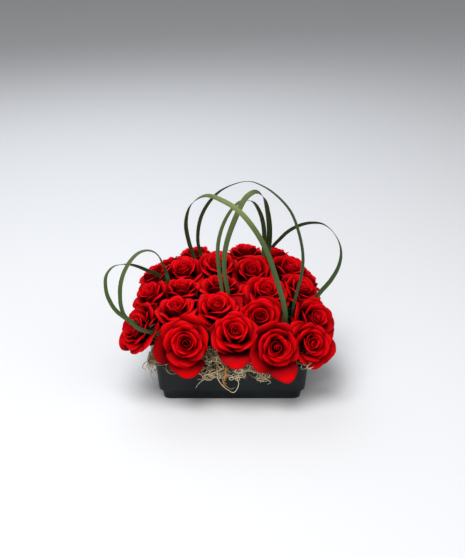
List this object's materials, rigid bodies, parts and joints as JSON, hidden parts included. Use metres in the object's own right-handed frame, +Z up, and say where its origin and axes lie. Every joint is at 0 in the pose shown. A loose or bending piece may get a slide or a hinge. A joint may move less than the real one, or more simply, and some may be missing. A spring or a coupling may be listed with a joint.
{
  "type": "flower box",
  "caption": "Low square tray of cut red roses set in floral foam as a dome, with looped lily-grass blades above and moss over the rim.",
  "frame": {"origin": "centre of the tray's flat bottom face, on the surface that it stands on", "axes": "+Z up, +X to the right seen from the front, -Y to the front"},
  "size_m": [0.3614, 0.3035, 0.3107],
  "materials": {
    "tray_plastic": "moulded plastic, very dark green-black, satin",
    "floral_foam": "wet phenolic floral foam, fine open cells, dull",
    "anchor_tape": "waterproof cloth-backed tape, thin, slightly glossy",
    "rose_red": "fresh petals, velvety, bright red turning crimson on the rims and near black in the folds",
    "lily_grass": "fresh leaf, lengthwise veins, waxy sheen",
    "moss": "dried strands, straw and tan, dull",
    "dry_stem": "dried frond, orange brown, rough"
  },
  "bodies": {
    "root": {"tray": "tray_plastic", "foam_brick_left": "floral_foam", "foam_brick_right": "floral_foam", "anchor_tape_left": "anchor_tape", "anchor_tape_right": "anchor_tape", "rose_01": "rose_red", "rose_02": "rose_red", "rose_03": "rose_red", "rose_04": "rose_red", "rose_05": "rose_red", "rose_06": "rose_red", "rose_07": "rose_red", "rose_08": "rose_red", "rose_09": "rose_red", "rose_10": "rose_red", "rose_11": "rose_red", "rose_12": "rose_red", "rose_13": "rose_red", "rose_14": "rose_red", "rose_15": "rose_red", "rose_16": "rose_red", "rose_17": "rose_red", "rose_18": "rose_red", "rose_19": "rose_red", "rose_20": "rose_red", "rose_21": "rose_red", "rose_22": "rose_red", "rose_23": "rose_red", "rose_24": "rose_red", "rose_25": "rose_red", "rose_26": "rose_red", "rose_27": "rose_red", "rose_28": "rose_red", "rose_29": "rose_red", "rose_30": "rose_red", "rose_31": "rose_red", "rose_32": "rose_red", "rose_33": "rose_red", "grass_blade_1": "lily_grass", "grass_blade_2": "lily_grass", "grass_blade_3": "lily_grass", "grass_blade_4": "lily_grass", "grass_blade_5": "lily_grass", "grass_blade_6": "lily_grass", "grass_blade_7": "lily_grass", "moss_front": "moss", "moss_right": "moss", "moss_back": "moss", "moss_left": "moss", "dry_frond": "dry_stem"}
  },
  "joints": []
}
